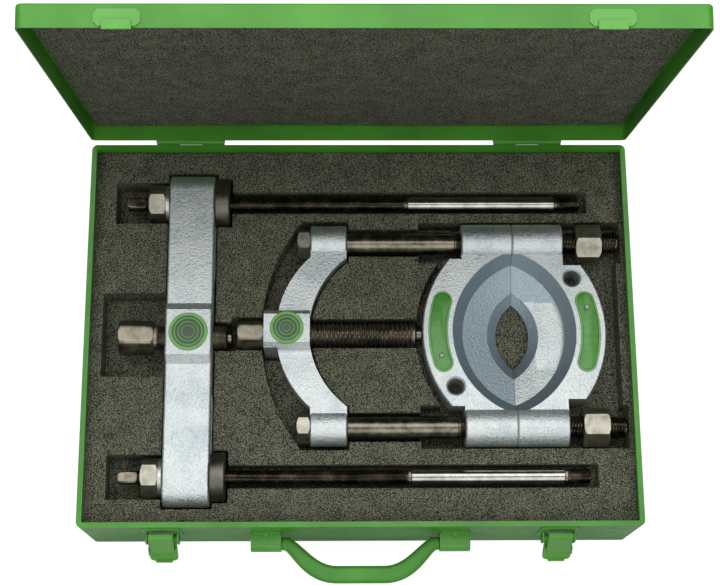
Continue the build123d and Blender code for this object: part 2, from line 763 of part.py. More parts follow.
def bowl(centre_x):
    """The space above a half's blade: a rim chamfer, a sloped floor, a bevel and the opening."""
    low = separator_z + blade_bottom
    top = separator_z + blade_top
    points = [(0, low - 1), (blade_radius, low - 1), (blade_radius, low + blade_edge_height),
              (blade_radius + blade_bevel_width, low + blade_bevel_height),
              (blade_floor_radius, low + blade_floor_height), (blade_recess_radius, top),
              (blade_recess_radius, top + 1), (0, top + 1)]
    profile = make_face(Polyline(*[(r, 0, z) for r, z in points], close=True))
    return Pos(centre_x, separator_y, 0) * revolve(profile, Axis.Z)


def blade_half(side):
    """One half: a plate with a bowl, a lug on each clamp rod and a threaded hole for a tie rod."""
    centre_x = split_x - side * blade_arc_offset
    face_x = split_x + side * split_gap / 2
    shoulder = right_shoulder if side > 0 else left_shoulder
    low, top = separator_z + blade_bottom, separator_z + blade_top
    far_x = face_x + side * 2 * blade_outer_radius
    span = sorted((face_x, far_x))
    outline = Pos(centre_x, separator_y) * Circle(blade_outer_radius)
    outline &= Pos((span[0] + span[1]) / 2, separator_y) * Rectangle(span[1] - span[0], 2 * shoulder)
    half = Pos(0, 0, low) * extrude(outline, top - low)
    half = chamfer(half.faces().sort_by(Axis.Z)[-1].edges().filter_by(GeomType.CIRCLE), end_chamfer)
    lug_x = sorted((face_x, split_x + side * lug_length))
    for hand in (-1, 1):
        y = clamp_y(hand)
        half += bar(lug_radius, lug_x, y, separator_z, end_chamfer)
        web_y = sorted((separator_y + hand * (shoulder - 4), y))
        half += block(lug_x, web_y, (low, top))
    half -= bowl(centre_x)
    if side > 0:
        half -= bowl_channel(centre_x)
    for hand in (-1, 1):
        half -= bar(clamp_radius + running_gap, (lug_x[0] - 1, lug_x[1] + 1), clamp_y(hand), separator_z)
    hole_x, hole_y = puller_hole_place(side)
    half -= Pos(hole_x, hole_y, (low + top) / 2) * Cylinder(puller_hole_radius, top - low + 2)
    depth = puller_hole_countersink - puller_hole_radius
    sink = Cone(puller_hole_radius, puller_hole_countersink, depth)
    return half - Pos(hole_x, hole_y, top - depth / 2) * sink


def bowl_channel(centre_x):
    """The machined band across the right half's floor."""
    low, top = separator_z + blade_bottom, separator_z + blade_top
    ring_inner = blade_radius + blade_bevel_width
    channel_floor = low + blade_bevel_height - blade_channel_depth
    channel = block((centre_x + ring_inner - blade_edge_height, centre_x + blade_floor_radius),
                    (separator_y - blade_channel_half_width, separator_y + blade_channel_half_width),
                    (channel_floor, top))
    ring = Circle(blade_floor_radius) - Circle(ring_inner)
    return channel & Pos(centre_x, separator_y, channel_floor) * extrude(ring, top - channel_floor)


def puller_hole_place(side):
    """The threaded holes lie across from each other, the right one towards the hinge."""
    angle = radians(puller_hole_deg)
    x = split_x + side * puller_hole_offset * cos(angle)
    y = separator_y + side * puller_hole_offset * sin(angle)
    return x, y


def blade_label(side):
    """The curved name plate, left plain, on the half's flat rim."""
    centre_x = split_x - side * blade_arc_offset
    facing = 0 if side > 0 else 180
    return upright_slot(label_mid_radius, label_half_width, label_half_deg, separator_z + blade_top,
                        label_thickness, centre_x, separator_y, facing)


def blade_label_rivet(side):
    """The drive rivet near one end of the plate."""
    centre_x = split_x - side * blade_arc_offset
    angle = radians(label_rivet_deg + (0 if side > 0 else 180))
    x = centre_x + label_mid_radius * cos(angle)
    y = separator_y + label_mid_radius * sin(angle)
    z = separator_z + blade_top + label_thickness
    pin = Cylinder(label_rivet_radius, label_rivet_height, align=(Align.CENTER, Align.CENTER, Align.MIN))
    return Pos(x, y, z) * fillet(pin.edges().group_by(Axis.Z)[-1], label_rivet_height / 2)


def yoke():
    """The forged yoke: a block hub, two curved arms and a lug on each clamp rod."""
    y0, z0 = separator_y, separator_z
    arms = Pos(yoke_outer_centre, y0) * Circle(yoke_outer_radius)
    arms -= Pos(yoke_inner_centre, y0) * Circle(yoke_inner_radius)
    arm_reach = clamp_spread - yoke_lug_radius + 2
    arms &= Pos(yoke_lug_right - yoke_outer_radius / 2, y0) * Rectangle(yoke_outer_radius, 2 * arm_reach)
    body = Pos(0, 0, z0 - yoke_arm_half_thickness) * extrude(arms, 2 * yoke_arm_half_thickness)
    hub = block((yoke_hub_left, yoke_hub_right), (y0 - yoke_hub_half_width, y0 + yoke_hub_half_width),
                (z0 - yoke_hub_half_height, z0 + yoke_hub_half_height))
    body += chamfer(hub.edges().filter_by(Axis.X), yoke_hub_chamfer)
    for side in (-1, 1):
        y = clamp_y(side)
        web_y = sorted((y0 + side * (arm_reach - 2), y))
        body += bar(yoke_lug_radius, (yoke_lug_left, yoke_lug_right), y, z0, end_chamfer)
        body += block((yoke_lug_left, yoke_lug_right), web_y,
                      (z0 - yoke_arm_half_thickness, z0 + yoke_arm_half_thickness))
    for side in (-1, 1):
        body -= bar(clamp_end_radius + running_gap, (yoke_lug_left - 1, yoke_lug_right + 1), clamp_y(side), z0)
    return body - bar(yoke_screw_radius + running_gap, (yoke_hub_left - 1, yoke_inner_centre), y0, z0)


def yoke_spindle():
    """The short pressure screw and its hexagon head."""
    y, z = separator_y, separator_z
    head = hexagon(yoke_head_flats, (yoke_head_left, yoke_head_right), y, z)
    return head + bar(yoke_screw_radius, (yoke_head_right - 1, yoke_screw_end - yoke_tip_length), y, z, end_chamfer)


def yoke_spindle_tip():
    """The thrust tip that bears on the left half."""
    start = yoke_screw_end - yoke_tip_length + face_gap
    return bar(yoke_tip_radius, (start, yoke_screw_end), separator_y, separator_z, end_chamfer)


def clamp_rod(side):
    """A rod with a thinner threaded end through the yoke and a long thread for the clamp nut."""
    y, z = clamp_y(side), separator_z
    rod = bar(clamp_end_radius, (clamp_left, yoke_lug_right + 1), y, z, end_chamfer)
    rod += bar(clamp_radius, (yoke_lug_right + face_gap, clamp_thread_left), y, z, small_chamfer)
    rod += bar(clamp_radius - small_chamfer, (clamp_thread_left - 1, clamp_thread_left + 2), y, z)
    return rod + bar(clamp_radius, (clamp_thread_left + 1, clamp_right), y, z, end_chamfer)


def yoke_nuts():
    """The two nuts that hold the clamp rods in the yoke."""
    nuts = []
    for side in (-1, 1):
        x_range = (yoke_lug_left - yoke_nut_length, yoke_lug_left - face_gap / 2)
        nut = hexagon(yoke_nut_flats, x_range, clamp_y(side), separator_z)
        bore = bar(clamp_end_radius + running_gap, (x_range[0] - 1, x_range[1] + 1), clamp_y(side), separator_z)
        nuts.append(nut - bore)
    return Compound(children=nuts)


def clamp_nut(side):
    """The long hexagon nut at the far end of a clamp rod."""
    x_range = (clamp_nut_left, clamp_nut_left + clamp_nut_length)
    turn = clamp_nut_back_turn_deg if side > 0 else 0.0
    nut = hexagon(clamp_nut_flats, x_range, clamp_y(side), separator_z, turn)
    return nut - bar(clamp_radius + running_gap, (x_range[0] - 1, x_range[1] + 1), clamp_y(side), separator_z)


nodes = {
    "case_tray": case_tray(),
    "foam_insert": foam_insert(),
    "lid_shell": lid_shell(),
    "lid_foam": lid_foam(),
    "lid_strikers": lid_strikers(),
    "hinge_base_leaves": hinge_leaves(False),
    "hinge_lid_leaves": hinge_leaves(True),
    "hinge_pins": hinge_pins(),
    "handle_brackets": handle_brackets(),
    "handle_bail": handle_bail(),
    "latch_pins": latch_pins(),
    "case_rivets": case_rivets(),
    "crossbeam": crossbeam(),
    "crossbeam_disc": disc(beam_disc_radius, beam_mid_x, puller_y, puller_z + beam_hub_half_thickness),
    "main_spindle": main_spindle(),
    "main_spindle_tip": main_spindle_tip(),
    "yoke": yoke(),
    "yoke_disc": disc(yoke_disc_radius, yoke_hub_mid_x, separator_y, separator_z + yoke_hub_half_height),
    "yoke_spindle": yoke_spindle(),
    "yoke_spindle_tip": yoke_spindle_tip(),
    "yoke_nuts": yoke_nuts(),
}
for side, hand in ((-1, "left"), (1, "right")):
    nodes[f"latch_base_{hand}"] = latch_base(side)
    nodes[f"latch_lever_{hand}"] = latch_lever(side)
    nodes[f"latch_claw_{hand}"] = latch_claw(side)
    nodes[f"latch_claw_pin_{hand}"] = latch_claw_pin(side)
    nodes[f"blade_half_{hand}"] = blade_half(side)
    nodes[f"blade_label_{hand}"] = blade_label(side)
    nodes[f"blade_label_rivet_{hand}"] = blade_label_rivet(side)
for side, place in ((-1, "front"), (1, "back")):
    nodes[f"tie_rod_{place}"] = tie_rod(side)
    nodes[f"tie_nut_{place}"] = tie_nut(side)
    nodes[f"tie_washer_{place}"] = tie_washer(side)
    nodes[f"tie_collar_{place}"] = tie_collar(side)
    nodes[f"clamp_rod_{place}"] = clamp_rod(side)
    nodes[f"clamp_nut_{place}"] = clamp_nut(side)

for name, shape in nodes.items():
    export_step(shape, f"parts/{name}.step")
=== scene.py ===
"""Looks of a boxed crossbeam puller and bearing separator in a green steel case.

Everything is in metres in the row's frame: X along the case, Y from its front to its hinge, Z up.
The screws, rods, foam and labels are surfaces worked out here; the other pieces keep their shape.
"""
import json
import math

import bpy
import numpy as np
from mathutils import Matrix, Vector


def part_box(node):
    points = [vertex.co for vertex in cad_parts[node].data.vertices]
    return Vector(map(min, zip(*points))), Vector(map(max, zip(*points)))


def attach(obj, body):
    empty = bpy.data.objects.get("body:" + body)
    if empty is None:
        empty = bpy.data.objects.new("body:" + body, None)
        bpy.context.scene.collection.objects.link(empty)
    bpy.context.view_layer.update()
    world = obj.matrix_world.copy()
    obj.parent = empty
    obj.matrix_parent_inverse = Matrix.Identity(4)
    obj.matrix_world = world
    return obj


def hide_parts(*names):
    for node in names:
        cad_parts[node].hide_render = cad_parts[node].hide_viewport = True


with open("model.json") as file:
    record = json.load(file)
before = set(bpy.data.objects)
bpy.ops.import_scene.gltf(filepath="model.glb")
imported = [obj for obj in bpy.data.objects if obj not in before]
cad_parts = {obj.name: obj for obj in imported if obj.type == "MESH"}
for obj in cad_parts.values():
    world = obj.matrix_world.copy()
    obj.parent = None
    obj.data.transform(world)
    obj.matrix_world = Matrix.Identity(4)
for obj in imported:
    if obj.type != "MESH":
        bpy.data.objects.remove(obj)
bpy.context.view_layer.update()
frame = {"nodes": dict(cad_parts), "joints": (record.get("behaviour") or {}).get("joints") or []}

MM = 0.001
TURN = 2 * math.pi
rng = np.random.default_rng(12)


# ---- Sizes that the frame gives ----
def low(node):
    """The lowest corner of a node."""
    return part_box(node)[0]


def high(node):
    """The highest corner of a node."""
    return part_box(node)[1]


def middle(node):
    """The middle of a node's box."""
    return (low(node) + high(node)) / 2


joint = {j["name"]: j for j in frame["joints"]}
puller_y = middle("main_spindle").y
puller_z = middle("main_spindle").z
separator_y = middle("yoke_spindle").y
separator_z = middle("yoke_spindle").z
beam_left = low("crossbeam").x
beam_right = high("crossbeam").x
beam_half_length = (high("crossbeam").y - low("crossbeam").y) / 2
beam_half_thickness = 16 * MM
split_x = (high("blade_half_left").x + low("blade_half_right").x) / 2
foam_top = high("foam_insert").z

# ---- Sizes of the threads and turned pieces ----
running_gap = 0.2 * MM
tie_radius = 7 * MM
tie_pitch = 2 * MM
tie_square_half = 5.25 * MM
tie_square_length = 16 * MM
tie_shank_left = 43 * MM
tie_shank_right = 174.5 * MM
tie_neck_radius = 6.2 * MM
tie_neck_length = 2 * MM
clamp_radius = 10 * MM
clamp_pitch = 2.5 * MM
clamp_thread_left = 84.3 * MM
clamp_end_radius = 8 * MM
main_screw_radius = 11 * MM
main_screw_pitch = 1.5 * MM
main_head_flats = 27 * MM
main_head_length = 30 * MM
yoke_screw_radius = 10 * MM
yoke_screw_pitch = 4 * MM
yoke_head_flats = 24 * MM
yoke_head_length = 23 * MM


# ---- Colours and nodes ----
def colour(code):
    """An sRGB hex code as linear red, green, blue and alpha."""
    share = [int(code[i:i + 2], 16) / 255 for i in (1, 3, 5)]
    linear = [c / 12.92 if c <= 0.04045 else ((c + 0.055) / 1.055) ** 2.4 for c in share]
    return (*linear, 1.0)


def add(tree, kind, inputs=None, **settings):
    """Add a node with its settings; inputs maps a socket's name or number to a value or another socket."""
    node = tree.nodes.new(kind)
    for key, value in settings.items():
        setattr(node, key, value)
    for key, value in (inputs or {}).items():
        if isinstance(value, bpy.types.NodeSocket):
            tree.links.new(value, node.inputs[key])
        else:
            node.inputs[key].default_value = value
    return node


def new_material(name, **values):
    """A material with one shader; values sets the shader's sockets. Returns it, its nodes, shader and coordinates."""
    material = bpy.data.materials.new(name)
    material.use_nodes = True
    tree = material.node_tree
    tree.nodes.clear()
    sockets = {key.replace("_", " "): value for key, value in values.items()}
    shader = add(tree, "ShaderNodeBsdfPrincipled", sockets)
    add(tree, "ShaderNodeOutputMaterial", {"Surface": shader.outputs["BSDF"]})
    place = add(tree, "ShaderNodeTexCoord").outputs["Object"]
    return material, tree, shader, place


def stops(ramp, *pairs):
    """Set a colour ramp's stops from (position, hex code) pairs."""
    elements = ramp.color_ramp.elements
    for position, code in pairs[2:]:
        elements.new(position)
    for element, (position, code) in zip(elements, pairs):
        element.position = position
        element.color = colour(code)


# ---- Finishes ----
def green_enamel(name="green_stove_enamel", base="#4D9A2C", dark="#408823"):
    """Stove enamel sprayed on sheet steel: semi-gloss, with a fine orange peel and a few dull patches."""
    material, tree, shader, place = new_material(name, Roughness=0.36, Specular_IOR_Level=0.32,
                                                 Coat_Weight=0.1)
    cloud = add(tree, "ShaderNodeTexNoise", {"Vector": place, "Scale": 1 / (60 * MM), "Detail": 3.0})
    tint = add(tree, "ShaderNodeValToRGB", {"Fac": cloud.outputs["Fac"]})
    stops(tint, (0.35, dark), (0.65, base))
    scuff = add(tree, "ShaderNodeTexNoise", {"Vector": place, "Scale": 1 / (9 * MM), "Detail": 6.0,
                                             "Roughness": 0.7})
    gloss = add(tree, "ShaderNodeMapRange", {"Value": scuff.outputs["Fac"], "From Min": 0.3, "From Max": 0.75,
                                             "To Min": 0.26, "To Max": 0.46})
    peel = add(tree, "ShaderNodeTexNoise", {"Vector": place, "Scale": 1 / (1.6 * MM), "Detail": 1.0})
    bump = add(tree, "ShaderNodeBump", {"Height": peel.outputs["Fac"], "Strength": 0.18,
                                        "Distance": 0.15 * MM})
    tree.links.new(tint.outputs["Color"], shader.inputs["Base Color"])
    tree.links.new(gloss.outputs["Result"], shader.inputs["Roughness"])
    tree.links.new(bump.outputs["Normal"], shader.inputs["Normal"])
    return material


def green_moulding():
    """Moulded ABS of the handle: satin, with a fine spark-eroded grain and a smoother crown where it is held."""
    material, tree, shader, place = new_material("green_moulded_abs", Roughness=0.42, Specular_IOR_Level=0.4)
    cloud = add(tree, "ShaderNodeTexNoise", {"Vector": place, "Scale": 1 / (30 * MM), "Detail": 2.0})
    tint = add(tree, "ShaderNodeValToRGB", {"Fac": cloud.outputs["Fac"]})
    stops(tint, (0.3, "#428B26"), (0.7, "#4E9A30"))
    grain = add(tree, "ShaderNodeTexNoise", {"Vector": place, "Scale": 1 / (0.7 * MM), "Detail": 2.0})
    bump = add(tree, "ShaderNodeBump", {"Height": grain.outputs["Fac"], "Strength": 0.25,
                                        "Distance": 0.1 * MM})
    tree.links.new(tint.outputs["Color"], shader.inputs["Base Color"])
    tree.links.new(bump.outputs["Normal"], shader.inputs["Normal"])
    return material


def cut_foam(name="cut_polyurethane_foam", dark="#31322A", body="#636554", speck="#8F907B"):
    """Open-cell polyurethane foam, knife cut: matt, with open cells that show as dark and pale specks."""
    material, tree, shader, place = new_material(name, Roughness=0.95, Specular_IOR_Level=0.12)
    # The real cells are 0.5 to 0.8 mm across; they are drawn near 1 mm so that they show.
    cells = add(tree, "ShaderNodeTexVoronoi", {"Vector": place, "Scale": 1 / (1.1 * MM)}, feature="F1")
    grain = add(tree, "ShaderNodeTexNoise", {"Vector": place, "Scale": 1 / (0.9 * MM), "Detail": 2.0,
                                             "Roughness": 0.7})
    mottle = add(tree, "ShaderNodeTexNoise", {"Vector": place, "Scale": 1 / (16 * MM), "Detail": 3.0})
    mixed = add(tree, "ShaderNodeMath", {0: grain.outputs["Fac"], 1: cells.outputs["Distance"]},
                operation="SUBTRACT")
    shifted = add(tree, "ShaderNodeMath", {0: mottle.outputs["Fac"], 1: 0.3, 2: mixed.outputs["Value"]},
                  operation="MULTIPLY_ADD")
    tint = add(tree, "ShaderNodeValToRGB", {"Fac": shifted.outputs["Value"]})
    stops(tint, (0.0, dark), (0.2, body), (0.55, speck))
    bump = add(tree, "ShaderNodeBump", {"Height": shifted.outputs["Value"], "Strength": 0.6,
                                        "Distance": 0.5 * MM})
    tree.links.new(tint.outputs["Color"], shader.inputs["Base Color"])
    tree.links.new(bump.outputs["Normal"], shader.inputs["Normal"])
    return material


def zinc_on_forging(name="bright_zinc_on_forging", base="#D9DEDC", dull="#AEBAC0", grain=1.0, gloss=(0.42,
                                                                                                     0.6)):
    """Bright zinc plate over a blasted forging: a pale bluish metal whose pitted skin scatters the light."""
    material, tree, shader, place = new_material(name, Metallic=1.0, Roughness=0.5)
    # The real pits are under 1 mm across; they are drawn near 1.5 mm so that they show.
    pits = add(tree, "ShaderNodeTexNoise", {"Vector": place, "Scale": 1 / (1.7 * MM), "Detail": 2.0,
                                            "Roughness": 0.6})
    patch = add(tree, "ShaderNodeTexNoise", {"Vector": place, "Scale": 1 / (26 * MM), "Detail": 3.0})
    tone = add(tree, "ShaderNodeMath", {0: patch.outputs["Fac"], 1: 0.7, 2: pits.outputs["Fac"]},
               operation="MULTIPLY_ADD")
    tint = add(tree, "ShaderNodeValToRGB", {"Fac": tone.outputs["Value"]})
    stops(tint, (0.6, dull), (0.9, base))
    bump = add(tree, "ShaderNodeBump", {"Height": pits.outputs["Fac"], "Strength": grain,
                                        "Distance": 0.5 * MM})
    sheen = add(tree, "ShaderNodeMapRange", {"Value": pits.outputs["Fac"], "From Min": 0.3, "From Max": 0.7,
                                             "To Min": gloss[0], "To Max": gloss[1]})
    tree.links.new(tint.outputs["Color"], shader.inputs["Base Color"])
    tree.links.new(sheen.outputs["Result"], shader.inputs["Roughness"])
    tree.links.new(bump.outputs["Normal"], shader.inputs["Normal"])
    return material


def zinc_bowl_with_painted_reflection(name, centre_x, painted_reflection_low_y, painted_reflection_high_y):
    """The blades' zinc: bluish and grainy in the bowl, with a painted reflection that keeps the paler plain zinc
    on the part of the floor ring between the bevel and the slope that lies between two Y values."""
    material = zinc_on_forging(name)
    tree = material.node_tree
    shader = next(node for node in tree.nodes if node.type == "BSDF_PRINCIPLED")
    plain_colour = shader.inputs["Base Color"].links[0].from_socket
    place = add(tree, "ShaderNodeTexCoord").outputs["Object"]
    split = add(tree, "ShaderNodeSeparateXYZ", {0: place}).outputs
    centre = add(tree, "ShaderNodeCombineXYZ", {"X": centre_x, "Y": separator_y, "Z": split["Z"]}).outputs[0]
    radius = add(tree, "ShaderNodeVectorMath", {0: place, 1: centre}, operation="DISTANCE").outputs["Value"]
    height = add(tree, "ShaderNodeMath", {0: split["Z"], 1: high("blade_half_left").z - 7.5 * MM},
                 operation="LESS_THAN").outputs["Value"]
    sunk = add(tree, "ShaderNodeMath", {0: radius, 1: blade_recess_radius},
               operation="LESS_THAN").outputs["Value"]
    ring = add(tree, "ShaderNodeMath", {0: radius, 1: blade_floor_middle, 2: blade_floor_half},
               operation="COMPARE").outputs["Value"]
    # Painted reflection: a band of the floor ring between two Y values keeps the paler plain zinc instead of the
    # bowl's bluish tint.
    band = add(tree, "ShaderNodeMath", {0: split["Y"], 1: (painted_reflection_low_y + painted_reflection_high_y) / 2,
                                        2: (painted_reflection_high_y - painted_reflection_low_y) / 2}, operation="COMPARE").outputs["Value"]
    painted_reflection_mask = add(tree, "ShaderNodeMath", {0: ring, 1: band}, operation="MULTIPLY").outputs["Value"]
    bowl = add(tree, "ShaderNodeMath", {0: height, 1: sunk}, operation="MULTIPLY").outputs["Value"]
    blue = add(tree, "ShaderNodeMath", {0: bowl, 1: painted_reflection_mask}, operation="SUBTRACT",
               use_clamp=True).outputs["Value"]
    mix = add(tree, "ShaderNodeMix", {"Factor": blue, "A": plain_colour, "B": colour("#A2B0B7")},
              data_type="RGBA",
              blend_type="MIX")
    tree.links.new(mix.outputs["Result"], shader.inputs["Base Color"])
    return material


def blackened_steel(name="blackened_steel", dark="#4E4A40", worn="#8A8373", gloss=(0.16, 0.34)):
    """Steel blackened in hot salts and oiled: nearly black and smooth, browner where handling has worn it."""
    material, tree, shader, place = new_material(name, Metallic=1.0, Roughness=0.3)
    wear = add(tree, "ShaderNodeTexNoise", {"Vector": place, "Scale": 1 / (12 * MM), "Detail": 5.0,
                                            "Roughness": 0.65})
    tint = add(tree, "ShaderNodeValToRGB", {"Fac": wear.outputs["Fac"]})
    stops(tint, (0.35, dark), (0.7, worn))
    turned = add(tree, "ShaderNodeMapping", {"Vector": place, "Scale": (6.0, 0.6, 0.6)})
    lathe = add(tree, "ShaderNodeTexNoise", {"Vector": turned.outputs["Vector"], "Scale": 1 / (1.5 * MM),
                                             "Detail": 2.0})
    sheen = add(tree, "ShaderNodeMapRange", {"Value": wear.outputs["Fac"], "From Min": 0.3, "From Max": 0.7,
                                             "To Min": gloss[0], "To Max": gloss[1]})
    bump = add(tree, "ShaderNodeBump", {"Height": lathe.outputs["Fac"], "Strength": 0.15,
                                        "Distance": 0.05 * MM})
    tree.links.new(tint.outputs["Color"], shader.inputs["Base Color"])
    tree.links.new(sheen.outputs["Result"], shader.inputs["Roughness"])
    tree.links.new(bump.outputs["Normal"], shader.inputs["Normal"])
    return material


def ground_steel(name, pale, dark):
    """Hexagon steel with ground flats: warm grey, its grinding lines fine and parallel."""
    material, tree, shader, place = new_material(name, Metallic=1.0, Roughness=0.4)
    along = add(tree, "ShaderNodeMapping", {"Vector": place, "Scale": (1.0, 8.0, 8.0)})
    lines = add(tree, "ShaderNodeTexNoise", {"Vector": along.outputs["Vector"], "Scale": 1 / (4 * MM),
                                             "Detail": 4.0})
    stain = add(tree, "ShaderNodeTexNoise", {"Vector": place, "Scale": 1 / (9 * MM), "Detail": 3.0})
    tone = add(tree, "ShaderNodeMath", {0: lines.outputs["Fac"], 1: 0.5, 2: stain.outputs["Fac"]},
               operation="MULTIPLY_ADD")
    tint = add(tree, "ShaderNodeValToRGB", {"Fac": tone.outputs["Value"]})
    stops(tint, (0.5, dark), (0.85, pale))
    bump = add(tree, "ShaderNodeBump", {"Height": lines.outputs["Fac"], "Strength": 0.2,
                                        "Distance": 0.05 * MM})
    tree.links.new(tint.outputs["Color"], shader.inputs["Base Color"])
    tree.links.new(bump.outputs["Normal"], shader.inputs["Normal"])
    return material


def printed_plate(name="green_printed_aluminium", base="#489A28", dark="#3A841D"):
    """Aluminium plate printed green under clear lacquer."""
    material, tree, shader, place = new_material(name, Roughness=0.38, Coat_Weight=0.35, Coat_Roughness=0.15)
    cloud = add(tree, "ShaderNodeTexNoise", {"Vector": place, "Scale": 1 / (5 * MM), "Detail": 4.0})
    tint = add(tree, "ShaderNodeValToRGB", {"Fac": cloud.outputs["Fac"]})
    stops(tint, (0.3, dark), (0.7, base))
    tree.links.new(tint.outputs["Color"], shader.inputs["Base Color"])
    return material


enamel = green_enamel()
enamel_bright = green_enamel("green_stove_enamel_fittings", "#66AE48", "#57A03C")
moulding = green_moulding()
foam = cut_foam()
zinc = zinc_on_forging()
black = blackened_steel()
collar_black = blackened_steel("blackened_steel_collar", "#55534A", "#77746A", (0.36, 0.5))
screw_black = blackened_steel("blackened_steel_screws", "#6A665A", "#A39C8A", (0.3, 0.48))
blade_arc_offset = 23 * MM
blade_recess_radius = 77 * MM
blade_floor_middle = 56.5 * MM
blade_floor_half = 11.2 * MM
# The Y values between which the floor ring carries a painted reflection; the left half's lie beyond the object, so it
# has none.
no_painted_reflection_y = (1.0, 1.1)
right_painted_reflection_y = (-0.2, separator_y + 31 * MM)
blade_left_zinc = zinc_bowl_with_painted_reflection("bright_zinc_left_half", split_x + blade_arc_offset, *no_painted_reflection_y)
blade_right_zinc = zinc_bowl_with_painted_reflection("bright_zinc_right_half", split_x - blade_arc_offset, *right_painted_reflection_y)
nut_steel = ground_steel("ground_steel_nuts", "#A9A597", "#7C776C")
bright_zinc = blackened_steel("polished_steel_shank", "#8C8C86", "#B3B3AC", (0.1, 0.2))
washer_zinc = ground_steel("bright_zinc_turned", "#C9CAC4", "#8C8D88")
plate_green = printed_plate()
plate_edge = printed_plate("green_plate_border", "#64AE40", "#55993A")
plate_line = printed_plate("dark_printed_line", "#1E3A14", "#16300E")
plain = ground_steel("plain_steel_pin", "#9A9B98", "#6E6F6C")


# ---- Meshes ----
def grid_faces(rows, columns, closed):
    """Quads of a grid of points; closed joins its last column to its first."""
    r = np.arange(rows - 1)[:, None]
    c = np.arange(columns if closed else columns - 1)[None, :]
    n = (c + 1) % columns
    quads = np.stack([r * columns + c, r * columns + n, (r + 1) * columns + n, (r + 1) * columns + c], -1)
    return quads.reshape(-1, 4)


def make_piece(name, points, faces, finish, smooth_deg):
    """A mesh object from points and faces, smooth except across edges sharper than smooth_deg."""
    mesh = bpy.data.meshes.new(name)
    mesh.from_pydata(points.tolist(), [], faces)
    mesh.validate()
    mesh.polygons.foreach_set("use_smooth", [True] * len(mesh.polygons))
    mesh.set_sharp_from_angle(angle=math.radians(smooth_deg))
    mesh.materials.append(finish)
    piece = bpy.data.objects.new(name, mesh)
    bpy.context.scene.collection.objects.link(piece)
    return piece


def hand_over(piece, node, body):
    """The piece stands for a node, whose part is hidden, and rides on its body."""
    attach(piece, body)
    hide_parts(node)
    return piece


# ---- Turned bars: radius as a function of the station along X and the angle round it ----
bar_sides = 60
angles = np.arange(bar_sides) * TURN / bar_sides


def round_part(x_start, x_end, radius, start_chamfer=0.0, end_chamfer=0.0):
    """Stations and radii of a plain cylinder whose rims may be chamfered."""
    stations = [x_start, x_start + start_chamfer, x_end - end_chamfer, x_end]
    radii = [radius - start_chamfer, radius, radius, radius - end_chamfer]
    return np.array(stations), np.array(radii)[:, None] * np.ones(bar_sides)


def flats_part(x_start, x_end, half_flats, sides, corner_radius, ease, turn=0.0):
    """A prism: radius is the half width over the cosine of the angle to the nearest flat's middle, no more
    than the corner radius, and no more than a cone of 30 degrees at both ends."""
    stations = np.array([x_start, x_start + ease * 0.35, x_start + ease, x_end - ease,
                         x_end - ease * 0.35, x_end])
    sector = TURN / sides
    off_flat = (angles - turn + sector / 2) % sector - sector / 2
    flat = half_flats / np.cos(off_flat)
    ends = np.minimum(stations - x_start, x_end - stations)[:, None]
    cone = corner_radius - np.maximum(ease - ends, 0) * 0.8
    return stations, np.minimum(np.minimum(flat[None, :], corner_radius), cone)


def thread_part(x_start, x_end, crest, pitch, start_chamfer, end_chamfer, steps=7):
    """A right-hand thread: crest less a groove whose depth follows a flattened triangle wave of
    x over the pitch less the turn, fading out over one pitch at both ends."""
    count = max(4, int(round((x_end - x_start) / pitch * steps)))
    stations = np.linspace(x_start, x_end, count)
    phase = (stations[:, None] / pitch - angles[None, :] / TURN) % 1
    wave = np.clip(1.25 * (1 - np.abs(2 * phase - 1)) - 0.1, 0, 1)
    fade = np.clip(np.minimum(stations - x_start, x_end - stations) / pitch, 0, 1)[:, None]
    radii = crest - 0.6 * pitch * wave * fade
    start_cone = crest - start_chamfer + (stations - x_start)[:, None]
    end_cone = crest - end_chamfer + (x_end - stations)[:, None]
    return stations, np.minimum(radii, np.minimum(start_cone, end_cone))


def turned_bar(name, y, z, parts, finish):
    """A bar along X: each point is (x, y + radius cos angle, z + radius sin angle)."""
    stations = np.concatenate([part[0] for part in parts])
    radii = np.concatenate([part[1] for part in parts])
    points = np.stack([np.repeat(stations[:, None], bar_sides, 1), y + radii * np.cos(angles),
                       z + radii * np.sin(angles)], -1).reshape(-1, 3)
    rows = len(stations)
    faces = grid_faces(rows, bar_sides, True).tolist()
    faces.append(list(range(bar_sides))[::-1])
    faces.append([(rows - 1) * bar_sides + i for i in range(bar_sides)])
    return make_piece(name, points, faces, finish, 35)


def tie_rod(place):
    """Square end, long thread, neck, bright shank, neck and end thread."""
    node = f"tie_rod_{place}"
    y, z = middle(node).y, puller_z
    start, end = low(node).x, high(node).x
    square_end = start + tie_square_length
    thread_end = tie_shank_left - tie_neck_length
    parts = [flats_part(start, square_end, tie_square_half, 4, 6.9 * MM, 1.2 * MM),
             thread_part(square_end, thread_end, tie_radius, tie_pitch, 1 * MM, 0.8 * MM),
             round_part(thread_end, tie_shank_left, tie_neck_radius)]
    black_part = turned_bar(f"{node}_thread", y, z, parts, black)
    shank = [round_part(tie_shank_left, tie_shank_right, tie_radius, 0.8 * MM, 0.8 * MM)]
    shank_part = turned_bar(f"{node}_shank", y, z, shank, bright_zinc)
    tip = [round_part(tie_shank_right, tie_shank_right + tie_neck_length, tie_neck_radius),
           thread_part(tie_shank_right + tie_neck_length, end, tie_radius, tie_pitch, 0.8 * MM, 1.2 * MM)]
    tip_part = turned_bar(f"{node}_end", y, z, tip, black)
    for piece in (black_part, shank_part, tip_part):
        hand_over(piece, node, f"tie_rod_{place}")


def clamp_rod(place):
    """Plain rod with a thinner end in the yoke and a long thread for the clamp nut."""
    node = f"clamp_rod_{place}"
    y, z = middle(node).y, separator_z
    start, end = low(node).x, high(node).x
    yoke_face = high("yoke").x
    parts = [round_part(start, yoke_face + running_gap, clamp_end_radius, 1 * MM),
             round_part(yoke_face + running_gap, clamp_thread_left, clamp_radius, 0.6 * MM, 0.6 * MM),
             thread_part(clamp_thread_left, end, clamp_radius, clamp_pitch, 0.6 * MM, 1.5 * MM)]
    hand_over(turned_bar(f"{node}_turned", y, z, parts, black), node, "separator_frame")


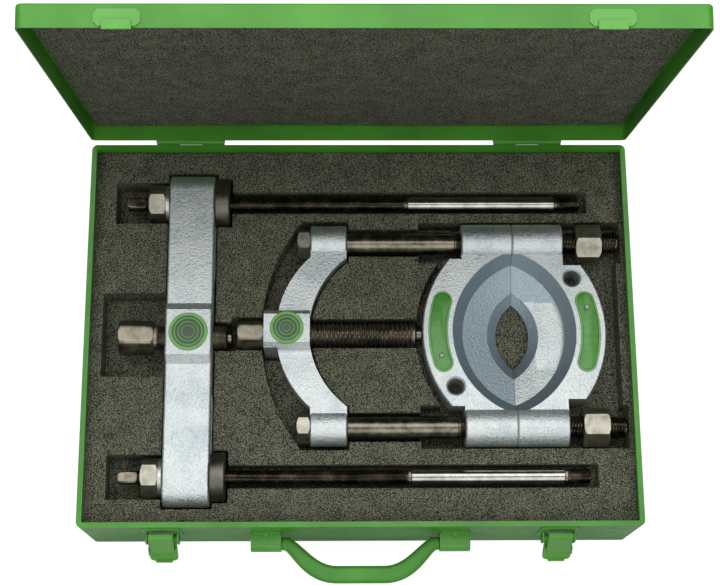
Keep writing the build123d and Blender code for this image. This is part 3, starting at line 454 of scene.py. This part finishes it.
def pressure_screw(node, body, y, z, flats, head_length, radius, pitch, plain_length):
    """Hexagon head, short plain neck and a thread to the end."""
    start, end = low(node).x, high(node).x
    head_end = start + head_length
    parts = [flats_part(start, head_end, flats / 2, 6, flats / math.sqrt(3), 2 * MM, TURN / 4),
             round_part(head_end, head_end + plain_length, radius),
             thread_part(head_end + plain_length, end, radius, pitch, 0.4 * MM, 1 * MM, 9)]
    hand_over(turned_bar(f"{node}_turned", y, z, parts, screw_black), node, body)


for place in ("front", "back"):
    tie_rod(place)
    clamp_rod(place)
pressure_screw("main_spindle", "main_screw", puller_y, puller_z, main_head_flats, main_head_length,
               main_screw_radius, main_screw_pitch, 3 * MM)
pressure_screw("yoke_spindle", "yoke_screw", separator_y, separator_z, yoke_head_flats, yoke_head_length,
               yoke_screw_radius, yoke_screw_pitch, 2 * MM)


# ---- Foam insert ----
def box_field(x, y, x_range, y_range):
    """Distance to a rectangle's edge, below zero inside it."""
    dx = np.abs(x - sum(x_range) / 2) - (x_range[1] - x_range[0]) / 2
    dy = np.abs(y - sum(y_range) / 2) - (y_range[1] - y_range[0]) / 2
    outside = np.hypot(np.maximum(dx, 0), np.maximum(dy, 0))
    return outside + np.minimum(np.maximum(dx, dy), 0)


def disc_field(x, y, centre, radius):
    """Distance to a circle, below zero inside it."""
    return np.hypot(x - centre[0], y - centre[1]) - radius


foam_gap = 2 * MM
lug_radius = 17 * MM
screw_groove_half = 13.2 * MM
tie_groove_half = 10.2 * MM
rod_groove_half = 12.8 * MM
blade_outer_radius = 103 * MM
clamp_spread = (middle("clamp_rod_back").y - middle("clamp_rod_front").y) / 2
tie_spread = (middle("tie_rod_back").y - middle("tie_rod_front").y) / 2
nut_floor = puller_z - 19.3 * MM
lug_floor = separator_z - lug_radius - running_gap


def pockets(x, y):
    """Every pocket as (distance to its outline, height of its floor)."""
    cuts = []

    def cut(x_range, y_middle, y_half, floor):
        cuts.append((box_field(x, y, x_range, (y_middle - y_half, y_middle + y_half)), floor))

    beam_x = (beam_left - foam_gap, beam_right + foam_gap)
    cut(beam_x, puller_y, beam_half_length + foam_gap, puller_z - beam_half_thickness - running_gap)
    cut(beam_x, puller_y, 29 * MM, low("crossbeam").z - running_gap)
    cut((-224.5 * MM, beam_left), puller_y + foam_gap, 37.5 * MM, nut_floor)
    cut((beam_right, -109 * MM), puller_y, screw_groove_half, nut_floor)
    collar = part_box("tie_collar_back")
    collar_half = (collar[1].y - collar[0].y) / 2 + foam_gap / 2
    for side in (-1, 1):
        tie_y = puller_y + side * tie_spread
        cut((-216.5 * MM, beam_left), tie_y, 19.3 * MM, nut_floor)
        cut((beam_right, collar[1].x + foam_gap), tie_y, collar_half, puller_z - collar_half)
        cut((collar[1].x, 203 * MM), tie_y, tie_groove_half, puller_z - 9 * MM)
    screw_floor = separator_z - 15.9 * MM
    hub = (low("yoke").x, -43.4 * MM)
    cut((-111 * MM, low("blade_half_left").x), separator_y, screw_groove_half, screw_floor)
    cut((low("yoke_spindle").x - 3 * foam_gap, hub[0]), separator_y, 14.9 * MM, screw_floor)
    cut((hub[0] - foam_gap, hub[1] + foam_gap), separator_y, 18.5 * MM, low("yoke").z - running_gap)
    keep_right = high("yoke").x + foam_gap
    sweep = disc_field(x, y, (81 * MM, separator_y), 167 * MM)
    strip = box_field(x, y, (keep_right - 167 * MM, keep_right), (separator_y - 103 * MM,
                                                                  separator_y + 103 * MM))
    inside = disc_field(x, y, (39.6 * MM, separator_y), 82 * MM)
    arms = np.maximum(np.maximum(sweep, strip), -inside)
    for side in (-1, 1):
        rod_y = separator_y + side * clamp_spread
        lug = box_field(x, y, (-47 * MM, keep_right), (rod_y - 18 * MM, rod_y + 18 * MM))
        arms = np.minimum(arms, lug)
        cut((high("yoke").x, 52 * MM), rod_y, rod_groove_half, lug_floor)
        cut((52 * MM, 231.5 * MM), rod_y, lug_radius + foam_gap, lug_floor - foam_gap / 2)
    cuts.append((arms, lug_floor))
    blade_half_width = clamp_spread - lug_radius + foam_gap
    blade = disc_field(x, y, (split_x + blade_arc_offset, separator_y), blade_outer_radius + 6 * MM)
    left = box_field(x, y, (split_x - 109 * MM, split_x), (separator_y - blade_half_width,
                                                         separator_y + blade_half_width))
    cuts.append((np.maximum(blade, left), lug_floor))
    cut((split_x - 1 * MM, 227 * MM), separator_y, 67 * MM, lug_floor)
    return cuts


def outline_field(x, y):
    """Distance to the nearest pocket outline, below zero inside a pocket."""
    field = pockets(x, y)[0][0]
    for distance, floor in pockets(x, y)[1:]:
        field = np.minimum(field, distance)
    return field


def foam_block():
    """Height over a grid: the foam's top, or the lowest floor of the pockets that hold the point.
    Grid points near an outline move onto it along the field's slope, so that the cut walls are clean."""
    corner_low, corner_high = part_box("foam_insert")
    pitch = 1.3 * MM
    columns = int((corner_high.x - corner_low.x) / pitch) + 1
    rows = int((corner_high.y - corner_low.y) / pitch) + 1
    x, y = np.meshgrid(np.linspace(corner_low.x, corner_high.x, columns),
                       np.linspace(corner_low.y, corner_high.y, rows))
    step = 0.05 * MM
    field = outline_field(x, y)
    slope_x = (outline_field(x + step, y) - field) / step
    slope_y = (outline_field(x, y + step) - field) / step
    rim = np.abs(field + 0.1 * pitch) < 0.5 * pitch
    wall = (field < -0.6 * pitch) & (field > -1.5 * pitch)
    target = np.where(rim, 0.0, -0.35 * MM)
    shift = np.where(rim | wall, target - field, 0.0)
    edge = np.zeros(x.shape, bool)
    edge[[0, -1], :] = True
    edge[:, [0, -1]] = True
    shift[edge] = 0
    x = x + shift * slope_x
    y = y + shift * slope_y
    field = np.where(rim, 0.0, field)
    z = np.full(x.shape, foam_top - 0.3 * MM)
    inside = ~rim & (field < 0)
    for distance, floor in pockets(x, y):
        z = np.where(inside & (distance < -0.1 * MM) & (z > floor - 0.4 * MM), floor - 0.4 * MM, z)
    ease = np.exp(-np.maximum(field, 0) / (1.2 * MM)) * 0.5 * MM
    z = z - np.where(inside, 0, ease)
    z = z + rng.normal(0, 0.13 * MM, z.shape)
    z = np.where(edge, np.minimum(z, foam_top - 0.2 * MM), z)
    points = np.stack([x, y, z], -1).reshape(-1, 3)
    top = len(points)
    faces = grid_faces(rows, columns, False).tolist()
    border = np.concatenate([np.arange(columns), np.arange(1, rows) * columns + columns - 1,
                             (rows - 1) * columns + np.arange(columns - 2, -1, -1),
                             np.arange(rows - 2, 0, -1) * columns])
    skirt = points[border].copy()
    skirt[:, 2] = corner_low.z
    points = np.concatenate([points, skirt])
    count = len(border)
    after = (np.arange(count) + 1) % count
    faces += np.stack([border[after], border, top + np.arange(count), top + after], -1).tolist()
    faces.append((top + np.arange(count))[::-1].tolist())
    piece = make_piece("foam_block", points, faces, foam, 50)
    hand_over(piece, "foam_insert", "case")


def lid_pad():
    """The thin foam sheet in the lid: a grid with an eased border, turned about the hinge line."""
    hinge = Vector(joint["lid_hinge"]["pos_m"])
    open_angle = -math.radians(joint["lid_hinge"]["range_deg"][0])
    turn = Matrix.Translation(hinge) @ Matrix.Rotation(-open_angle, 4, "X") @ Matrix.Translation(-hinge)
    back = turn.inverted()
    shut = np.array([back @ v.co for v in frame["nodes"]["lid_foam"].data.vertices])
    corner_low, corner_high = shut.min(0), shut.max(0)
    pitch = 1.9 * MM
    columns = int((corner_high[0] - corner_low[0]) / pitch) + 1
    rows = int((corner_high[1] - corner_low[1]) / pitch) + 1
    x, y = np.meshgrid(np.linspace(corner_low[0], corner_high[0], columns),
                       np.linspace(corner_low[1], corner_high[1], rows))
    inset = np.minimum(np.minimum(x - corner_low[0], corner_high[0] - x),
                       np.minimum(y - corner_low[1], corner_high[1] - y))
    z = corner_low[2] + 0.3 * MM + np.exp(-inset / (1.5 * MM)) * 0.8 * MM
    z = z + rng.normal(0, 0.12 * MM, z.shape) + 0.35 * MM * np.sin(x / (47 * MM)) * np.sin(y / (39 * MM))
    face = np.stack([x, y, z], -1).reshape(-1, 3)
    border = np.concatenate([np.arange(columns), np.arange(1, rows) * columns + columns - 1,
                             (rows - 1) * columns + np.arange(columns - 2, -1, -1),
                             np.arange(rows - 2, 0, -1) * columns])
    glued = face[border].copy()
    glued[:, 2] = corner_high[2]
    points = np.concatenate([face, glued])
    count, top = len(border), len(face)
    after = (np.arange(count) + 1) % count
    faces = grid_faces(rows, columns, False)[:, ::-1].tolist()
    faces += np.stack([border, border[after], top + after, top + np.arange(count)], -1).tolist()
    faces.append((top + np.arange(count)).tolist())
    turned = np.array(turn)
    points = points @ turned[:3, :3].T + turned[:3, 3]
    piece = make_piece("lid_pad", points, faces, foam, 50)
    hand_over(piece, "lid_foam", "lid")


foam_block()
lid_pad()


# ---- Plates ----
def plate_piece(name, outline_point, widths, heights, finish_of, node, body):
    """A pressed plate as rings of an outline: outline_point gives x and y at a distance inward from the edge,
    widths and heights list each ring's distance and its z, and finish_of gives each band's finish."""
    rings = [np.stack([*outline_point(width), np.full(plate_sides, z)], -1) for width, z in zip(widths,
                                                                                                heights)]
    points = np.concatenate(rings)
    faces = grid_faces(len(rings), plate_sides, True).tolist()
    faces.append([(len(rings) - 1) * plate_sides + i for i in range(plate_sides)])
    faces.append(list(range(plate_sides))[::-1])
    piece = make_piece(name, points, faces, plate_green, 30)
    for finish in (plate_edge, plate_line):
        piece.data.materials.append(finish)
    for band, place in enumerate(finish_of):
        for polygon in piece.data.polygons[band * plate_sides:(band + 1) * plate_sides]:
            polygon.material_index = place
    return hand_over(piece, node, body)


plate_sides = 96
around = np.arange(plate_sides) * TURN / plate_sides


def round_plate(node, body):
    """A disc: a raised bright rim, a dark line inside it and plain raised rings on a darker middle."""
    centre = middle(node)
    radius = high(node).x - centre.x
    low_z, top = low(node).z, high(node).z

    def ring(inset):
        return centre.x + (radius - inset) * np.cos(around), centre.y + (radius - inset) * np.sin(around)

    widths = np.array([0, 0, 0.4, 2.9, 3.1, 3.8, 4.0, 5.6, 5.8, 7.6, 7.8, 8.8, 9.0, 10.8, 11.0, 11.8,
                       12.0]) * MM
    lifts = np.array([-9, -0.4, 0, 0, -0.5, -0.5, -0.2, -0.2, -0.5, -0.5, -0.2, -0.2, -0.5, -0.5, -0.2,
                      -0.2, -0.5])
    heights = np.maximum(top + lifts * MM, low_z)
    bands = [1, 1, 1, 2, 2, 0, 0, 2, 2, 0, 0, 2, 2, 0, 0, 2, 2]
    plate_piece(f"{node}_pressed", ring, widths, heights, bands, node, body)


def curved_plate(node, body, side):
    """A name plate: a straight-ended slot bent round the half's centre, its spine an arc and its border raised.
    The outline runs at one distance from the spine; a thin dark line parts the border from the plain middle."""
    centre_x = split_x - side * blade_arc_offset
    spine_radius, half_width, half_angle = 89.5 * MM, 8.6 * MM, math.radians(18)
    facing = 0 if side > 0 else math.pi
    low_z, top = low(node).z, high(node).z
    share = np.arange(plate_sides // 4) / (plate_sides // 4)
    sweep = facing - half_angle + 2 * half_angle * share
    sweep_back = facing + half_angle - 2 * half_angle * share
    cap = math.pi * share

    def slot(inset):
        reach = half_width - inset
        outer = (spine_radius + reach) * np.stack([np.cos(sweep), np.sin(sweep)])
        inner = (spine_radius - reach) * np.stack([np.cos(sweep_back), np.sin(sweep_back)])
        caps = []
        for end, turn in ((facing + half_angle, 0), (facing - half_angle, math.pi)):
            end_middle = spine_radius * np.array([[math.cos(end)], [math.sin(end)]])
            caps.append(end_middle + reach * np.stack([np.cos(end + turn + cap), np.sin(end + turn + cap)]))
        path = np.concatenate([outer, caps[0], inner, caps[1]], 1)
        return centre_x + path[0], separator_y + path[1]

    widths = np.array([0, 0, 0.3, 1.7, 1.9, 2.3, 2.6]) * MM
    lifts = np.array([-9, -0.3, 0, 0, -0.35, -0.35, -0.25])
    heights = np.maximum(top + lifts * MM, low_z)
    plate_piece(f"{node}_pressed", slot, widths, heights, [1, 1, 1, 2, 2, 0], node, body)


round_plate("crossbeam_disc", "crossbeam_puller")
round_plate("yoke_disc", "separator_frame")
curved_plate("blade_label_left", "blade_left", -1)
curved_plate("blade_label_right", "blade_right", 1)


# ---- Finishes of the pieces that keep their shape ----
def finish_nodes(material, *names):
    """Put a material in every slot of each node."""
    for name in names:
        node = frame["nodes"][name]
        if not node.material_slots:
            node.data.materials.append(None)
        for place in node.material_slots:
            place.link = "OBJECT"
            place.material = material


finish_nodes(enamel, "case_tray", "lid_shell", "hinge_base_leaves", "hinge_lid_leaves")
finish_nodes(enamel_bright, "lid_strikers", "handle_brackets", "case_rivets", "latch_base_left",
             "latch_base_right", "latch_lever_left", "latch_lever_right", "latch_claw_left", "latch_claw_right")
finish_nodes(moulding, "handle_bail")
finish_nodes(plain, "hinge_pins", "latch_pins", "latch_claw_pin_left", "latch_claw_pin_right",
             "blade_label_rivet_left", "blade_label_rivet_right")
finish_nodes(zinc, "crossbeam", "yoke")
finish_nodes(blade_left_zinc, "blade_half_left")
finish_nodes(blade_right_zinc, "blade_half_right")
finish_nodes(black, "main_spindle_tip", "yoke_spindle_tip")
finish_nodes(collar_black, "tie_collar_front", "tie_collar_back")
finish_nodes(nut_steel, "tie_nut_front", "tie_nut_back", "yoke_nuts", "clamp_nut_front", "clamp_nut_back")
finish_nodes(washer_zinc, "tie_washer_front", "tie_washer_back")


# ---- Floor, light and camera ----
def pale_floor():
    """A plain white floor under the case; what it adds beyond its own grey is seen only by the camera."""
    half = 4.0
    points = np.array([(-half, -half, 0), (half, -half, 0), (half, half, 0), (-half, half, 0)])
    material, tree, shader, place = new_material("pale_matt_floor", Roughness=0.9, Specular_IOR_Level=0.2)
    shader.inputs["Base Color"].default_value = colour("#C4C6C4")
    shader.inputs["Emission Color"].default_value = (1.0, 1.0, 1.0, 1.0)
    seen = add(tree, "ShaderNodeLightPath").outputs["Is Camera Ray"]
    lift = add(tree, "ShaderNodeMath", {0: seen, 1: 0.8}, operation="MULTIPLY").outputs["Value"]
    tree.links.new(lift, shader.inputs["Emission Strength"])
    floor = make_piece("floor", points, [[0, 1, 2, 3]], material, 30)


def area_light(name, place, aim, size, watts):
    """A rectangular soft box that faces a point."""
    data = bpy.data.lights.new(name, "AREA")
    data.shape = "RECTANGLE"
    data.size, data.size_y = size
    data.energy = watts
    lamp = bpy.data.objects.new(name, data)
    lamp.location = place
    lamp.rotation_euler = (Vector(aim) - Vector(place)).to_track_quat("-Z", "Y").to_euler()
    bpy.context.scene.collection.objects.link(lamp)


def studio():
    """A dim room and two large soft boxes, one behind and one before the camera."""
    world = bpy.data.worlds.new("studio")
    world.use_nodes = True
    world.node_tree.nodes["Background"].inputs["Color"].default_value = (0.93, 0.97, 1.0, 1.0)
    world.node_tree.nodes["Background"].inputs["Strength"].default_value = 0.3
    bpy.context.scene.world = world
    area_light("back_soft_box", (0, 0.38, 1.5), (0, 0, 0.1), (1.6, 1.17), 14)
    area_light("front_soft_box", (0, -1.03, 1.33), (0, 0, 0.1), (1.6, 1.07), 9)


def camera():
    """Above the open case, leaning back from its front."""
    data = bpy.data.cameras.new("camera")
    data.sensor_width = 36
    data.lens = 78.73
    eye = bpy.data.objects.new("camera", data)
    heading, tilt, roll = -0.04804, 0.27925, 0.04465
    turn = Matrix.Rotation(heading, 4, "Z") @ Matrix.Rotation(tilt, 4, "X") @ Matrix.Rotation(roll, 4, "Z")
    eye.matrix_world = Matrix.Translation((-0.01801, -0.34338, 1.41009)) @ turn
    bpy.context.scene.collection.objects.link(eye)
    bpy.context.scene.camera = eye


pale_floor()
studio()
camera()
bpy.context.scene.view_settings.view_transform = "Standard"
